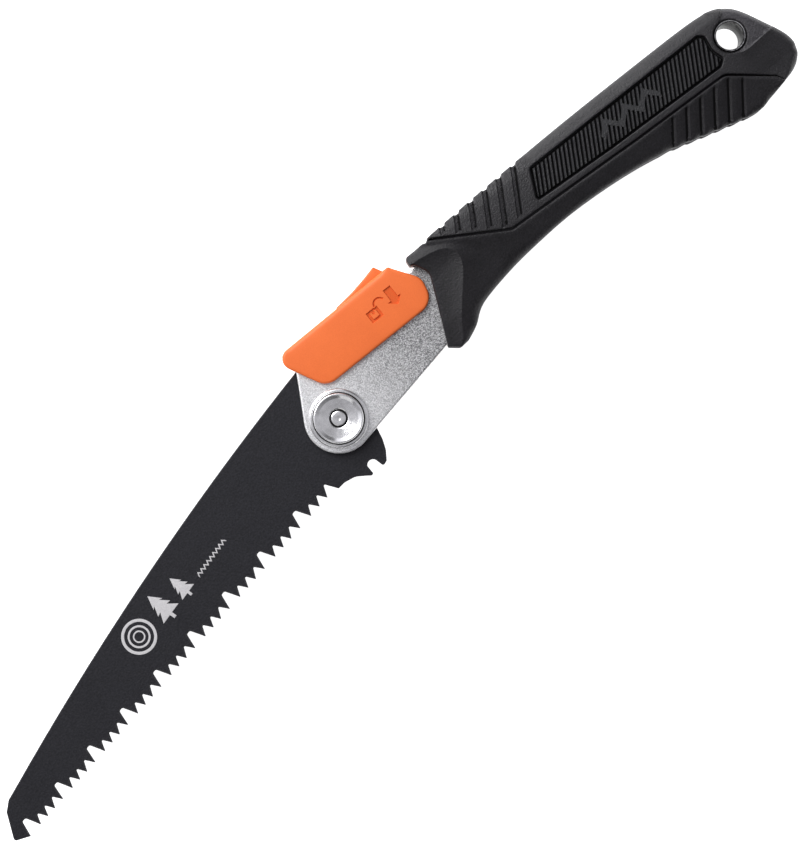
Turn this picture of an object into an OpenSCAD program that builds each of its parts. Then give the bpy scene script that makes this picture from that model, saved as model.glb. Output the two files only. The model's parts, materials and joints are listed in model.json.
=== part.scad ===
// Folding wood saw with a rocker lock lever, lying on its side with the blade open.
// +X runs along the handle to its butt, +Y points to the thumb side, +Z points up.
// Every module is drawn around the middle of the blade pivot, and placed() moves it
// so that the origin is on the floor, under the middle of the saw's box.

/* [Blade] */
// Thickness of the blade
blade_t = 1.5; // [1.2:0.1:1.8]
// Angle from the handle's axis to the blade's axis
blade_angle = 15.5; // [12:0.5:18]
// Distance from the pivot to the first tooth tip, along the blade
tooth_reach = 207.5; // [200:0.5:208]
// Number of tooth groups between the deep gullets
tooth_groups = 9; // [7:1:9]
// Depth of the deep gullets
deep_gullet = 6.3; // [4:0.1:7]
// Depth of the gullets between the teeth of a group
small_gullet = 4; // [2.5:0.1:4.5]

/* [Lock] */
// Radius of the tang's cam, which the pawl rides over
cam_r = 26.1; // [25.5:0.1:26.1]
// Radius of the round notches in the cam
notch_r = 2.3; // [2.2:0.1:2.5]
// Gap between the resting pawl and the cam
pawl_gap = 0.4; // [0.3:0.05:0.6]

/* [Bolster] */
// Gap between the two frame plates
plate_gap = 4; // [3.8:0.1:4.4]
// Thickness of each frame plate
plate_t = 1.8; // [1.5:0.1:1.8]
// Radius of the plates' round end
plate_end_r = 14; // [13.5:0.1:14.2]

/* [Pivot] */
// Radius of the pivot bolt
bolt_r = 3; // [2.5:0.1:3]
// Radius of the sleeve that the blade turns on
sleeve_r = 5; // [4.5:0.1:5.5]
// Outer radius of the dished nut and of the bolt's head
nut_r = 10; // [9:0.1:10.5]
// Height of the nut and of the bolt's head
nut_h = 4.2; // [3.8:0.1:4.6]
// Outer radius of the cup washers
cup_r = 12; // [11:0.1:12.5]
// Radial clearance of everything that turns
run_gap = 0.05; // [0.02:0.01:0.1]

/* [Handle] */
// Thickness of the handle
handle_t = 24; // [22:0.5:26]
// Wall of the soft grips around the core
grip_wall = 2.5; // [2:0.1:3]
// Width of the groove between the upper and the lower grip
groove_w = 0.6; // [0.4:0.1:1]
// Inner radius of the lanyard tube
tube_inner_r = 5.45; // [5:0.05:5.6]
// Outer radius of the lanyard tube
tube_outer_r = 6.2; // [6:0.05:6.3]

/* [Hidden] */
$fn = 64;

// Layers, as heights from the blade's middle plane
plate_in = plate_gap / 2;
plate_out = plate_in + plate_t;
cup_t = 1.2;
nut_base = plate_out + cup_t;
nut_top = nut_base + nut_h;
half_t = handle_t / 2;
core_top = half_t - 3.5;
core_belly = half_t - 7.4;
panel_top = half_t - 0.8;
fit_gap = 0.02;
cut = 0.5;

// Blade
spine_mid = [-50, 26.1];
spine_r = 1270;
last_tooth = [-28, -15];
first_tooth = [-tooth_reach, 1.5];
first_group = -204;
group_pitch = 19;
pitch_growth = 0.17;
tooth_shares = [0.14, 0.37, 0.585, 0.84];
gullet_share = 0.6;
gullet_half = 1.2;
notch_at_r = 23.1;
notch_flare = 1.15;
open_notch = 61;
closed_notch = -107.7;

// Lock lever
lever_pin_at = [32, 22];
lever_pin_r = 2;
cheek_in = plate_out + 0.2;
cheek_out = cheek_in + 2.2;
web_bottom = 31.2;
pad_half = 4;
pawl_t = 3.2;
pawl_top = 33.4;
pawl_r = cam_r + pawl_gap;
pawl_body_r = cam_r + 2.7;
pawl_at = blade_angle + open_notch;
// Half angles that the pawl's tooth covers at its tip and at its root
tooth_tip_half = 3.6;
tooth_root_half = 4.8;
pawl_pin_r = 0.9;
pawl_pins_at = [[10, 32.4], [24, 32.4]];

// Spring and its seat
spring_x = 50;
spring_r = 1.35;
wire_r = 0.35;
spring_turns = 5;
seat_top = 23.5;
rivet_r = 1.5;
rivets_at = [[spring_x, 21.4], [70, 23.5], [95, 23.5], [120, 23.5]];

// Handle
plate_end = 130;
plate_top = 28.2;
crown_end = [224, 13.2];
slot_roof = [[45, 19.1], [206, 15.2], [216, 9.5]];
slot_floor = -60;
tube_at = [215.8, 22.1];
tube_half = half_t - 1;
screws_at = [[146, 24.5], [170, 24.5], [194, 24.5]];
screw_r = 1.5;
screw_head_r = 2.8;
screw_head_h = 1.8;
// Depth of the screws' hexagon sockets, and their radius too
screw_socket = 1.3;
insert_r = 2.5;
insert_depth = 7;
// Each layer of a grip: from height, to height, how far its edge is set in
grip_layers = [[0, half_t - 4.5, 0], [half_t - 4.5, half_t - 2, 0.8], [half_t - 2, half_t - 0.6, 2],
    [half_t - 0.6, half_t, 3.4]];

// Vector and outline helpers
function unit(v) = v / norm(v);
function turned(p, a) = [p.x * cos(a) - p.y * sin(a), p.x * sin(a) + p.y * cos(a)];
function polar(r, a) = r * [cos(a), sin(a)];
function arc(c, r, a0, a1, n = 12) = [for (i = [0:n]) c + polar(r, a0 + (a1 - a0) * i / n)];

// One corner [x, y, radius], rounded between its neighbours
function fillet(a, p, b, r, n = 6) =
    let (u = unit(a - p), v = unit(b - p), half = acos(u * v) / 2)
    let (c = p + unit(u + v) * r / sin(half), reach = r / tan(half))
    let (s = p + u * reach - c, e = p + v * reach - c, a0 = atan2(s.y, s.x))
    let (sweep = (atan2(e.y, e.x) - a0 + 540) % 360 - 180)
    arc(c, r, a0, a0 + sweep, n);
function flat(p) = [p.x, p.y];
function rounded(pts) = let (n = len(pts)) [for (i = [0:n - 1])
    each (len(pts[i]) < 3
        ? [pts[i]]
        : fillet(flat(pts[(i + n - 1) % n]), flat(pts[i]), flat(pts[(i + 1) % n]), pts[i][2]))];

// A smooth curve through a few points
function between(a, b, c, d, t) =
    0.5 * (2 * b + (c - a) * t + (2 * a - 5 * b + 4 * c - d) * t * t + (3 * b - a - 3 * c + d) * t * t * t);
function smooth(pts, n = 3) = let (last = len(pts) - 1)
    [for (i = [0:last - 1], k = [0:n - 1])
        between(pts[max(i - 1, 0)], pts[i], pts[i + 1], pts[min(i + 2, last)], k / n), pts[last]];

// Counter-clockwise corners moved inwards by d, their radii shrinking with them
min_r = 0.2;
function left_of(v) = [-v.y, v.x];
function inset(pts, d) = let (n = len(pts)) [for (i = [0:n - 1])
    let (p = flat(pts[i]), before = left_of(unit(p - flat(pts[(i + n - 1) % n]))),
        after = left_of(unit(flat(pts[(i + 1) % n]) - p)), miter = unit(before + after))
    let (q = p + miter * d / (miter * before))
    len(pts[i]) < 3 ? q : [q.x, q.y, max(pts[i][2] - d, min_r)]];

// Blade outline in the blade's own frame: tip towards -X, back towards +Y
function spine(x) = [x, spine_mid.y - pow(x - spine_mid.x, 2) / (2 * spine_r)];
function on_tooth_line(x, depth) =
    let (slope = (last_tooth.y - first_tooth.y) / (last_tooth.x - first_tooth.x))
    [x, first_tooth.y + slope * (x - first_tooth.x) + depth];
function group_start(k) = first_group + group_pitch * k + pitch_growth * k * k;
function gullet_x(i) = tooth_shares[i] + gullet_share * (tooth_shares[i + 1] - tooth_shares[i]);
function group_teeth(k) = let (x0 = group_start(k), w = group_start(k + 1) - x0,
    last = k == tooth_groups - 1 ? 2 : 3)
    [on_tooth_line(x0 - gullet_half, deep_gullet), on_tooth_line(x0 + gullet_half, deep_gullet),
        for (i = [0:last]) each concat(
            [on_tooth_line(x0 + w * tooth_shares[i], 0)],
            i < last ? [on_tooth_line(x0 + w * gullet_x(i), small_gullet)] : [])];
function notch(a) = let (c = polar(notch_at_r, a), mouth = polar(cam_r + 1, a), side = polar(notch_r, a + 90))
    concat(arc(c, notch_r, a + 270, a + 90, 12), [mouth + side * notch_flare, mouth - side * notch_flare]);

tip_outline = [[-207.5, 1.5], [-213, 5.4], [-205, 15.4], [-200.5, 17.2]];
heel_outline = [[-25, -10.3], [-22.7, -16.4], [-19.5, -16.9], [-15, -19], [-12.4, -22], [-10.4, -24],
    [-6.7, -25.3], [-3, -25.4], [1, -22.5], [3.6, -19], [5.7, -15]];
tang_outline = concat([[9, -10]], arc([0, 0], 12.5, -40, 20, 6), arc([0, 0], cam_r, 44, 74, 10));
spine_outline = [for (x = [5:-15:-190]) spine(x)];
teeth_outline = [for (k = [0:tooth_groups - 1]) each group_teeth(k)];
blade_outline = concat([first_tooth], teeth_outline, heel_outline, tang_outline, spine_outline,
    [for (i = [3:-1:1]) tip_outline[i]]);

// Frame plate outline
plate_outline = concat(
    arc([0, 0], plate_end_r, 150, 360 - 78.7, 16),
    [[51, -4.1], [57.5, -2.8], [74, 9], [plate_end, 11], [plate_end, plate_top]],
    fillet([plate_end, plate_top], [0.1, plate_top], [-12.1, 7], 1));

// Lock lever outlines
cheek_outline = rounded([[4.4, 12.7, 7], [58.4, 12.7, 7], [60.6, 23.3, 6], [52.6, 35.1, 1.2],
    [26, 34.7], [-6.6, 34.2, 4.5]]);
pad_outline = [[26.2, 33.5], [26.5, 35], [35, 36], [42, 37.3], [47.8, 38.8], [50, 35.1], [50, 33.5]];
pawl_outline = concat(
    arc([0, 0], pawl_body_r, 92, pawl_at + tooth_root_half, 3),
    [polar(pawl_r, pawl_at + tooth_tip_half), polar(pawl_r, pawl_at - tooth_tip_half)],
    arc([0, 0], pawl_body_r, pawl_at - tooth_root_half, 62, 3),
    [[30, 29.5], [30, pawl_top], [-1, pawl_top]]);

// Handle outlines, counter-clockwise, each corner with its radius
belly_line = smooth([[60, -7.9], [66, -5.2], [74, 0], [90, 3.5], [106, 5.3], [126, 6.2], [150, 4.65],
    [170, 1.25], [190, -4.1], [206, -7.9], [214, -6.9]]);
back_line = smooth([[214, 35.5], [198, 36.45], [142, 36.55], [102, 35.5], [74, 34.3]]);
handle_corners = concat([[51.8, -5, 1.2], [55.8, -8.4, 2]], belly_line,
    [[223, -5.2], [230.5, -3.5, 4], [235.7, 3.2, 4], [235.7, 9.6, 4], [222.8, 31, 2.5], [218.6, 34]],
    back_line, [[60, 33.5, 2], [60.9, 27.8, 1], [64, 22, 3]]);
handle_outline = rounded(handle_corners);

groove_line = concat([[71, 37], [71.3, 33.6]], smooth([[100.8, 15.9], [131.3, 14.4], [161.3, 12.8], [201.3, 11.4],
    [205.8, 10.6]]), [[211.3, 6.1], [220.8, -1.9], [223.5, -9]]);
panel_corners = [[114.8, 18.2, 1], [151.3, 16.1], [205.6, 14.2, 1], [207.8, 15.8, 1], [206.6, 20.6],
    [207.6, 28.6, 0.6], [205.8, 30.2, 1], [121, 30.6, 1]];
rib_pitch = 2;
ribs_from = 122;
ribs_to = 204;
rib_lean = 30;

// Slanted cuts of the thumb ramp and of the finger grooves
cut_w = 2;
cut_depth = 0.7;
ramp_from = 80;
ramp_pitch = 7.2;
ramp_cuts = 6;
finger_from = 121;
finger_pitch = 6.4;
finger_cuts = 6;

// The face of the lower grip, which falls away from a line along the groove
belly_from = [60, 17.6, half_t - 0.8];
belly_turn = -2.5;
belly_slope = 13.5;

// The origin, worked out from the outlines' extents
all_points = concat(handle_outline, pad_outline, [for (p = blade_outline) turned(p, blade_angle)]);
low = [min([for (p = all_points) p.x]), min([for (p = all_points) p.y])];
high = [max([for (p = all_points) p.x]), max([for (p = all_points) p.y])];
placement = [-(low.x + high.x) / 2, -(low.y + high.y) / 2, half_t];

module placed() { translate(placement) children(); }
module far_side() { mirror([0, 0, 1]) children(); }
module prism(outline, z0, z1) { translate([0, 0, z0]) linear_extrude(z1 - z0) polygon(outline); }
module rod(at, r, z0, z1) { translate([at.x, at.y, z0]) cylinder(r = r, h = z1 - z0); }
module ring(inner, outer, z0, z1) {
    difference() {
        rod([0, 0], outer, z0, z1);
        rod([0, 0], inner, z0 - cut, z1 + cut);
    }
}

// Blade
module saw_blade() {
    color([0.17, 0.17, 0.19]) placed() rotate(blade_angle) difference() {
        prism(blade_outline, -blade_t / 2, blade_t / 2);
        rod([0, 0], sleeve_r + run_gap, -blade_t, blade_t);
        prism(notch(open_notch), -blade_t, blade_t);
        prism(notch(closed_notch), -blade_t, blade_t);
    }
}

// Bolster and pivot
module frame_plate() {
    difference() {
        prism(plate_outline, plate_in, plate_out);
        rod([0, 0], bolt_r + fit_gap, 0, nut_base);
        rod(lever_pin_at, lever_pin_r + fit_gap, 0, nut_base);
        for (at = rivets_at) rod(at, rivet_r + fit_gap, 0, nut_base);
    }
}
module frame_plate_near() { color("silver") placed() frame_plate(); }
module frame_plate_far() { color("silver") placed() far_side() frame_plate(); }

module cup_washer() {
    rotate_extrude() polygon([[bolt_r + fit_gap, plate_out], [cup_r, plate_out], [cup_r, plate_out + 0.5],
        [cup_r - 0.7, nut_base], [bolt_r + fit_gap, nut_base]]);
}
module cup_washer_near() { color("gainsboro") placed() cup_washer(); }
module cup_washer_far() { color("gainsboro") placed() far_side() cup_washer(); }

dish_r = nut_r - 2;
dish_bottom = nut_top - 1.6;
socket_bottom = nut_top - 2.4;
module nut_profile(bore) {
    rotate_extrude() polygon([[bore, nut_base], [nut_r, nut_base], [nut_r, nut_top - 0.8], [nut_r - 0.9, nut_top],
        [dish_r, nut_top], [bolt_r + 0.7, dish_bottom], [bolt_r + 0.7, nut_base + 2], [bore, nut_base + 2]]);
}
module pivot_nut() { color("gainsboro") placed() nut_profile(bolt_r + fit_gap); }
module pivot_bolt() {
    color("gainsboro") placed() {
        rod([0, 0], bolt_r, -nut_base - 1, dish_bottom + 0.3);
        far_side() difference() {
            rotate_extrude() polygon([[0, nut_base], [nut_r, nut_base], [nut_r, nut_top - 1], [dish_r, nut_top],
                [0, nut_top]]);
            translate([0, 0, socket_bottom]) cylinder(r = bolt_r, h = 3, $fn = 6);
        }
    }
}
module pivot_sleeve() { color("goldenrod") placed() ring(bolt_r + fit_gap, sleeve_r, -plate_in, plate_in); }
module thrust_washer() { ring(sleeve_r + fit_gap, plate_end_r - 2, blade_t / 2 + run_gap, plate_in); }
module thrust_washer_near() { color("goldenrod") placed() thrust_washer(); }
module thrust_washer_far() { color("goldenrod") placed() far_side() thrust_washer(); }

// Pieces between the plates
spacer_outline = [[58, 20.2], [126, 18.6], [126, plate_top - 0.2], [62, plate_top - 0.2], [58, 25]];
module spacer_bar() {
    color("dimgray") placed() difference() {
        prism(spacer_outline, -plate_in, plate_in);
        for (i = [1:3]) rod(rivets_at[i], rivet_r + fit_gap, -plate_out, plate_out);
    }
}
module spring_seat() {
    color("dimgray") placed() difference() {
        prism([[46, 19.6], [54, 19.6], [54, seat_top], [46, seat_top]], -plate_in, plate_in);
        rod(rivets_at[0], rivet_r + fit_gap, -plate_out, plate_out);
    }
}
module frame_rivets() {
    color("silver") placed() for (at = rivets_at) rod(at, rivet_r, -plate_out, plate_out);
}
module lever_pin() {
    color("silver") placed() rod(lever_pin_at, lever_pin_r, -cheek_in - 1.2, cheek_in + 1.2);
}

// Lock lever
module lock_lever() {
    color("darkorange") placed() difference() {
        union() {
            prism(cheek_outline, -cheek_out, cheek_out);
            prism(pad_outline, -pad_half, pad_half);
        }
        prism([[-10, 5], [70, 5], [70, web_bottom], [-10, web_bottom]], -cheek_in, cheek_in);
        rod(lever_pin_at, lever_pin_r + run_gap, -cheek_in - 1.3, cheek_in + 1.3);
        prism([[-1, web_bottom - cut], [30, web_bottom - cut], [30, pawl_top], [-1, pawl_top]],
            -pawl_t / 2, pawl_t / 2);
        for (at = pawl_pins_at) rod(at, pawl_pin_r + fit_gap, -cheek_in, cheek_in);
    }
}
module lock_pawl() {
    color("gray") placed() difference() {
        prism(pawl_outline, -pawl_t / 2, pawl_t / 2);
        for (at = pawl_pins_at) rod(at, pawl_pin_r + fit_gap, -pawl_t, pawl_t);
    }
}
module pawl_pins() {
    color("silver") placed() for (at = pawl_pins_at) rod(at, pawl_pin_r, -cheek_in, cheek_in);
}

// A coil spring standing along +Y, swept as one polyhedron
spring_sides = 8;
spring_steps = 12 * spring_turns;
spring_h = web_bottom - seat_top - 2 * wire_r - 0.1;
function wire_ring(i) = let (a = 360 * spring_turns * i / spring_steps, out = [cos(a), 0, sin(a)])
    [for (k = [0:spring_sides - 1]) let (b = 360 * k / spring_sides)
        [spring_x, seat_top + wire_r + 0.05 + spring_h * i / spring_steps, 0]
            + out * (spring_r + wire_r * cos(b)) + [0, wire_r * sin(b), 0]];
module lever_spring() {
    points = [for (i = [0:spring_steps]) each wire_ring(i)];
    last = spring_steps * spring_sides;
    sides = [for (i = [0:spring_steps - 1], k = [0:spring_sides - 1]) let (m = (k + 1) % spring_sides)
        [i * spring_sides + k, (i + 1) * spring_sides + k, (i + 1) * spring_sides + m, i * spring_sides + m]];
    ends = [[for (k = [0:spring_sides - 1]) k], [for (k = [spring_sides - 1:-1:0]) last + k]];
    color("silver") placed() polyhedron(points, concat(sides, ends));
}

// Handle
module blade_slot() {
    prism(concat([[45, slot_floor]], slot_roof, [[slot_roof[2].x, slot_floor]]), -plate_in, plate_in);
}
module core_block() {
    prism(rounded(inset(handle_corners, grip_wall)), 0, core_belly);
    intersection() {
        prism(rounded(inset(handle_corners, grip_wall)), 0, core_top);
        above_groove(-groove_w / 2);
        prism([[60, 60], [60, 0], [crown_end.x, crown_end.y], [crown_end.x, 60]], 0, half_t);
    }
}
module core_half() {
    difference() {
        core_block();
        blade_slot();
        prism(plate_outline, plate_in, plate_out);
        prism(spacer_outline, -cut, plate_in);
        prism([[45, 15], [58, 15], [62, plate_top], [45, plate_top]], -cut, plate_in);
        rod(tube_at, tube_outer_r + fit_gap, -cut, half_t);
    }
}
module core_near() {
    color([0.2, 0.2, 0.21]) placed() difference() {
        core_half();
        for (at = screws_at) {
            rod(at, screw_r + fit_gap, -cut, half_t);
            rod(at, screw_head_r + fit_gap, core_top - screw_head_h, half_t);
        }
    }
}
module core_far() {
    color([0.2, 0.2, 0.21]) placed() far_side() difference() {
        core_half();
        for (at = screws_at) rod(at, insert_r + fit_gap, -cut, insert_depth);
    }
}

// The soft shell of one side: layers that step inwards towards the face
module grip_shell() {
    difference() {
        for (layer = grip_layers) prism(rounded(inset(handle_corners, layer[2])), layer[0], layer[1]);
        core_block();
        blade_slot();
        prism(plate_outline, -cut, plate_out);
        rod(tube_at, tube_outer_r + 0.5, -cut, half_t + cut);
    }
}
module above_groove(shift) {
    prism(concat([for (p = groove_line) p + [0, shift]], [[250, -9], [250, 60], [60, 60]]), -cut, half_t + 1);
}
module upper_grip() {
    difference() {
        intersection() {
            grip_shell();
            above_groove(groove_w / 2);
        }
        prism(rounded(panel_corners), core_top, half_t + cut);
        for (i = [0:ramp_cuts - 1])
            translate([ramp_from + i * ramp_pitch, 36.2, half_t - cut_depth]) slanted_cut(16 - i * 1.2);
    }
}
module lower_grip() {
    difference() {
        grip_shell();
        above_groove(-groove_w / 2);
        translate(belly_from) rotate(belly_turn) rotate([belly_slope, 0, 0]) {
            translate([-20, -40, 0]) cube([200, 40, half_t]);
            for (i = [0:finger_cuts - 1])
                translate([finger_from + i * finger_pitch, 0, -cut_depth]) slanted_cut(24);
        }
    }
}
module slanted_cut(length) {
    rotate(-rib_lean) translate([-cut_w / 2, -length, 0]) cube([cut_w, length, half_t]);
}
module ribbed_panel() {
    outline = rounded(inset(panel_corners, 0.4));
    prism(outline, core_top, panel_top - 0.7);
    intersection() {
        prism(outline, core_top, panel_top);
        for (x = [ribs_from:rib_pitch:ribs_to])
            translate([x, 22, core_top]) rotate(-rib_lean) translate([-0.6, -14, 0]) cube([1.2, 28, half_t]);
    }
}
module upper_grip_near() { color("dimgray") placed() upper_grip(); }
module upper_grip_far() { color("dimgray") placed() far_side() upper_grip(); }
module lower_grip_near() { color([0.25, 0.25, 0.27]) placed() lower_grip(); }
module lower_grip_far() { color([0.25, 0.25, 0.27]) placed() far_side() lower_grip(); }
module ribbed_panel_near() { color([0.12, 0.12, 0.13]) placed() ribbed_panel(); }
module ribbed_panel_far() { color([0.12, 0.12, 0.13]) placed() far_side() ribbed_panel(); }

module handle_screws() {
    color("silver") placed() for (at = screws_at) difference() {
        union() {
            rod(at, screw_r, -insert_depth + 1, core_top - screw_head_h);
            rod(at, screw_head_r, core_top - screw_head_h, core_top - 0.1);
        }
        translate([at.x, at.y, core_top - screw_socket]) cylinder(r = screw_socket, h = 2, $fn = 6);
    }
}
module threaded_inserts() {
    color("goldenrod") placed() for (at = screws_at) difference() {
        rod(at, insert_r, -insert_depth, -2);
        rod(at, screw_r + fit_gap, -insert_depth + 0.8, 0);
    }
}
module lanyard_tube() {
    color("gainsboro") placed() difference() {
        rod(tube_at, tube_outer_r, -tube_half, tube_half);
        rod(tube_at, tube_inner_r, -half_t, half_t);
    }
}

saw_blade();
frame_plate_near();
frame_plate_far();
pivot_bolt();
pivot_nut();
cup_washer_near();
cup_washer_far();
pivot_sleeve();
thrust_washer_near();
thrust_washer_far();
spacer_bar();
spring_seat();
frame_rivets();
lever_pin();
lock_lever();
lock_pawl();
pawl_pins();
lever_spring();
core_near();
core_far();
upper_grip_near();
upper_grip_far();
lower_grip_near();
lower_grip_far();
ribbed_panel_near();
ribbed_panel_far();
handle_screws();
threaded_inserts();
lanyard_tube();
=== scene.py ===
"""Looks of the folding wood saw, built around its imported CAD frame.

Shapes are drawn in millimetres around the middle of the blade pivot: x runs along the handle to the
butt, y points to the thumb side and z stands up from the blade's middle plane. The blade has its own
x and y, turned by BLADE_ANGLE.
"""
import json
import math

import bmesh
import bpy
import numpy as np
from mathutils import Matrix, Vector, geometry, kdtree


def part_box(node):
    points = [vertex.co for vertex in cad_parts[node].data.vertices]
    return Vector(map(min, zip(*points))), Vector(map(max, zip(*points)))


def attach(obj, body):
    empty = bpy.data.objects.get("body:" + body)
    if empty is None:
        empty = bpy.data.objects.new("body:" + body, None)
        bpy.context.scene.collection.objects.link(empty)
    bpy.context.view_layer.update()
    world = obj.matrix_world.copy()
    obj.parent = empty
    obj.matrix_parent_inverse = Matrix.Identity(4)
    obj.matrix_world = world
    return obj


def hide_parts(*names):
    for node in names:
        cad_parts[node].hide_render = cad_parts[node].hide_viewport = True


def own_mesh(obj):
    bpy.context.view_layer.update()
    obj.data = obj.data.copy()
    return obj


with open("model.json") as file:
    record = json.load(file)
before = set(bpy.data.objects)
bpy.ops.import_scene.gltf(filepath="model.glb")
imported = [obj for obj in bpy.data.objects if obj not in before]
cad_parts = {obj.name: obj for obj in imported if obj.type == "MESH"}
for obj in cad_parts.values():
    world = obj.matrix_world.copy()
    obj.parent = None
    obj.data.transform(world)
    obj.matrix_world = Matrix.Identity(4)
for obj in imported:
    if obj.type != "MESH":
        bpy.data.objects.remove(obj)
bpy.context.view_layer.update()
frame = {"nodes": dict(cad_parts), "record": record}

MM = 0.001
JOINTS = {joint["name"]: joint for joint in frame["record"]["behaviour"]["joints"]}
PIVOT = Vector(JOINTS["blade_pivot"]["pos_m"])
BLADE_ANGLE = math.radians(15.5)


def height_of(node, index):
    """The lowest (0) or highest (1) z of a CAD node, in mm above the blade's middle plane."""
    return (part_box(node)[index][2] - PIVOT.z) / MM


PLATE_IN = height_of("frame_plate_near", 0)
PLATE_OUT = height_of("frame_plate_near", 1)
CHEEK_OUT = height_of("lock_lever", 1)
NUT_BASE = height_of("pivot_nut", 0)
NUT_TOP = height_of("pivot_nut", 1)
HALF_T = height_of("upper_grip_near", 1)
CORE_TOP = height_of("ribbed_panel_near", 0)
TUBE_HALF = height_of("lanyard_tube", 1)
CORE_BELLY = CORE_TOP - 3.9
HALF_BLADE = height_of("saw_blade", 1)
CHEEK_IN = PLATE_OUT + 0.2
GRIP_WALL = 2.5
GROOVE = 0.6


# ---------------------------------------------------------------- outlines
def pairs(x, y):
    """Points (x, y), where either may be one number for all."""
    return np.column_stack(np.broadcast_arrays(x, y))


def arc(centre, radius, start, end, count=12):
    """Points on a circle, from one angle in degrees to another."""
    angles = np.radians(np.linspace(start, end, count + 1))
    return pairs(centre[0] + radius * np.cos(angles), centre[1] + radius * np.sin(angles))


def joined(line, following):
    """The line, carried on to where the following one starts."""
    return np.vstack((line, following[:1]))


def looped(line):
    """The line with its first point again at its end."""
    return joined(line, line)


def unit(v):
    return v / np.linalg.norm(v)


def fillet(a, p, b, radius, count=8):
    """The arc that rounds the corner p between its neighbours a and b."""
    u, v = unit(a - p), unit(b - p)
    half = math.acos(np.clip(np.dot(u, v), -1, 1)) / 2
    centre = p + unit(u + v) * radius / math.sin(half)
    start = p + u * radius / math.tan(half) - centre
    end = p + v * radius / math.tan(half) - centre
    first = math.atan2(start[1], start[0])
    sweep = (math.atan2(end[1], end[0]) - first + 3 * math.pi) % (2 * math.pi) - math.pi
    return arc(centre, radius, math.degrees(first), math.degrees(first + sweep), count)


def rounded(corners, closed=True):
    """An outline through corners (x, y) or (x, y, radius)."""
    flat = [np.array(c[:2], float) for c in corners]
    parts = []
    for i, corner in enumerate(corners):
        ends = not closed and i in (0, len(corners) - 1)
        if len(corner) < 3 or ends:
            parts.append(flat[i][None])
        else:
            parts.append(fillet(flat[i - 1], flat[i], flat[(i + 1) % len(flat)], corner[2]))
    return np.vstack(parts)


def smooth(points, count=6):
    """A smooth open curve through a few points."""
    p = np.array(points, float)
    q = np.vstack((p[:1], p, p[-1:]))
    parts = []
    for i in range(len(p) - 1):
        a, b, c, d = q[i:i + 4]
        t = np.linspace(0, 1, count, endpoint=False)[:, None]
        parts.append(0.5 * (2 * b + (c - a) * t + (2 * a - 5 * b + 4 * c - d) * t ** 2
                            + (3 * b - a - 3 * c + d) * t ** 3))
    return np.vstack(parts + [p[-1:]])


def densify(points, spacing, closed=False):
    """The same line with no step longer than spacing."""
    p = np.asarray(points, float)
    ends = looped(p) if closed else p
    parts = []
    for a, b in zip(ends[:-1], ends[1:]):
        steps = max(1, math.ceil(np.linalg.norm(b - a) / spacing))
        parts.append(a + (b - a) * np.linspace(0, 1, steps, endpoint=False)[:, None])
    if not closed:
        parts.append(p[-1:])
    return np.vstack(parts)


def turned(points, angle):
    """Points turned about the pivot by an angle in radians."""
    c, s = math.cos(angle), math.sin(angle)
    return np.asarray(points) @ np.array([[c, s], [-s, c]])


def units(rows):
    return rows / np.maximum(np.linalg.norm(rows, axis=1, keepdims=True), 1e-9)


def normals_of(loop, closed=True):
    """Unit normals to the left of a line, which is the material's side of a loop."""
    before = loop - np.roll(loop, 1, 0)
    after = np.roll(loop, -1, 0) - loop
    if not closed:
        before[0], after[-1] = after[0], before[-1]
    tangent = units(units(before) + units(after))
    return pairs(-tangent[:, 1], tangent[:, 0])


def shifted(line, distance):
    """An open line moved to its left."""
    line = np.asarray(line, float)
    return line + normals_of(line, closed=False) * distance


def inside(points, loop):
    """Whether each point is inside a closed loop."""
    x, y = points[:, 0], points[:, 1]
    result = np.zeros(len(points), bool)
    for (x0, y0), (x1, y1) in zip(loop, np.roll(loop, -1, 0)):
        if y0 == y1:
            continue
        crosses = ((y0 > y) != (y1 > y)) & (x < (x1 - x0) * (y - y0) / (y1 - y0) + x0)
        result ^= crosses
    return result


def within(points, loops):
    """Whether each point is inside the first loop and outside the others."""
    keep = inside(points, loops[0])
    for hole in loops[1:]:
        keep &= ~inside(points, hole)
    return keep


def distance_to(points, line):
    """Distance from each point to an open line."""
    best = np.full(len(points), np.inf)
    for a, b in zip(line[:-1], line[1:]):
        step = b - a
        t = np.clip(((points - a) @ step) / max(step @ step, 1e-12), 0, 1)
        best = np.minimum(best, np.linalg.norm(points - a - t[:, None] * step, axis=1))
    return best


def ease(value, low, high):
    """A smooth step from 0 at low to 1 at high."""
    t = np.clip((value - low) / (high - low), 0, 1)
    return t * t * (3 - 2 * t)


# ---------------------------------------------------------------- mesh builders
FAR_AWAY = 99.0
# How wide a rim may be, against a corner's radius and the room across, and how fast it may widen
CORNER_SHARE = 0.5
SMALLEST_RIM = 0.05
ROOM_SHARE = 0.3
RIM_GROWTH = 0.42
# Row height of a triangular grid, and how far it keeps from rims and creases, in grid spacings
ROW_HEIGHT = 0.866
RIM_CLEAR = 0.55
CREASE_CLEAR = 0.45
MERGE_DISTANCE = 2e-6


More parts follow.
